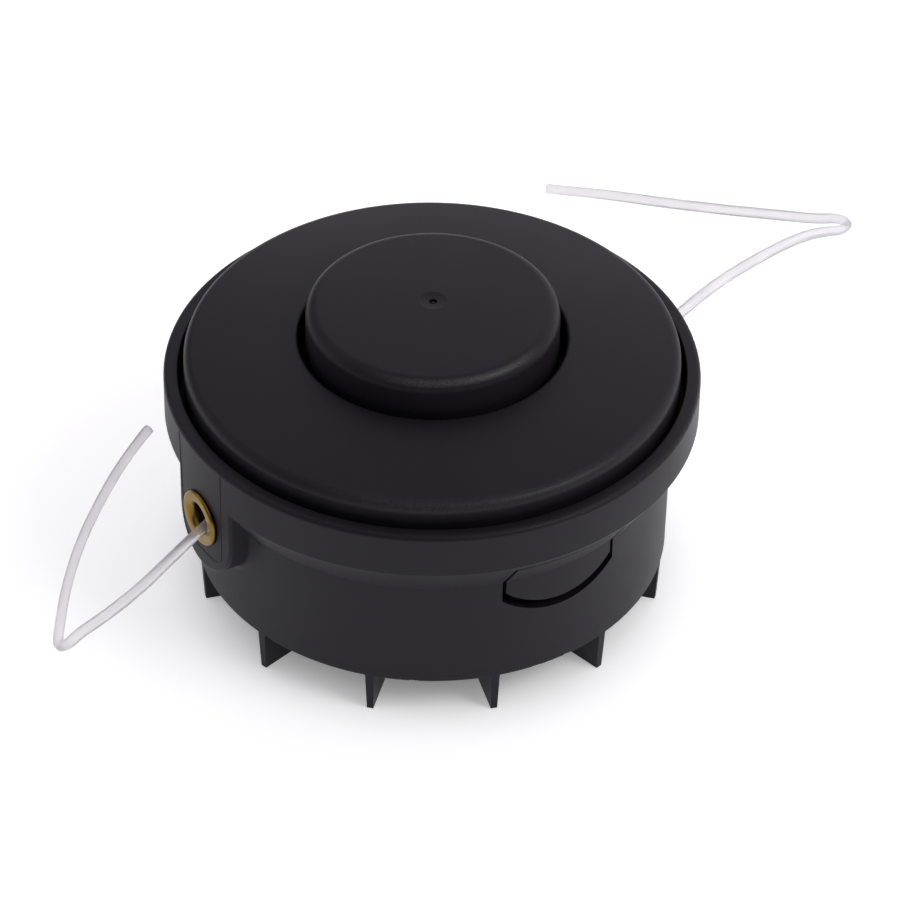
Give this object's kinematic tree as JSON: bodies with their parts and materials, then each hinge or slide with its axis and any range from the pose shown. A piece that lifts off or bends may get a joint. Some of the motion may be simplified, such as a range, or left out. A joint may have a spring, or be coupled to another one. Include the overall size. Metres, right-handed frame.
{
  "type": "trimmer head",
  "caption": "Bump-feed line trimmer head: stepped black housing with cooling fins, clipped domed cover, sprung spool with bump knob, brass eyelets and nylon line tails.",
  "frame": {"origin": "on the spindle axis at the fin tips, the middle of the footprint without the line tails", "axes": "+Z along the spindle from the fins to the bump knob, X through the two eyelets, Y through the two latch windows"},
  "size_m": [0.2414, 0.1317, 0.081],
  "materials": {
    "housing_plastic": "satin moulded",
    "cover_plastic": "satin moulded",
    "knob_plastic": "satin moulded",
    "spool_plastic": "satin moulded",
    "steel": "machined",
    "spring_steel": "drawn wire",
    "brass": "turned",
    "nylon_line": "translucent extruded"
  },
  "bodies": {
    "housing": {"housing": "housing_plastic", "arbor_nut": "steel", "eyelet_left": "brass", "eyelet_right": "brass", "cover": "cover_plastic", "spring": "spring_steel", "line_tail_left": "nylon_line", "line_tail_right": "nylon_line"},
    "washer": {"thrust_washer": "steel"},
    "spool": {"spool": "spool_plastic", "bump_knob": "knob_plastic", "line_winding": "nylon_line"}
  },
  "joints": [
    {"name": "bump_travel", "type": "slide", "parent": "housing", "child": "washer", "axis": [0, 0, -1], "range_m": [0, 0.006], "stiffness_N_per_m": 2500, "springref_m": -0.01, "deforming": ["spring"]},
    {"name": "spool_turn", "type": "hinge", "parent": "washer", "child": "spool", "pos_m": [0, 0, 0.047], "axis": [0, 0, 1], "continuous": true}
  ]
}
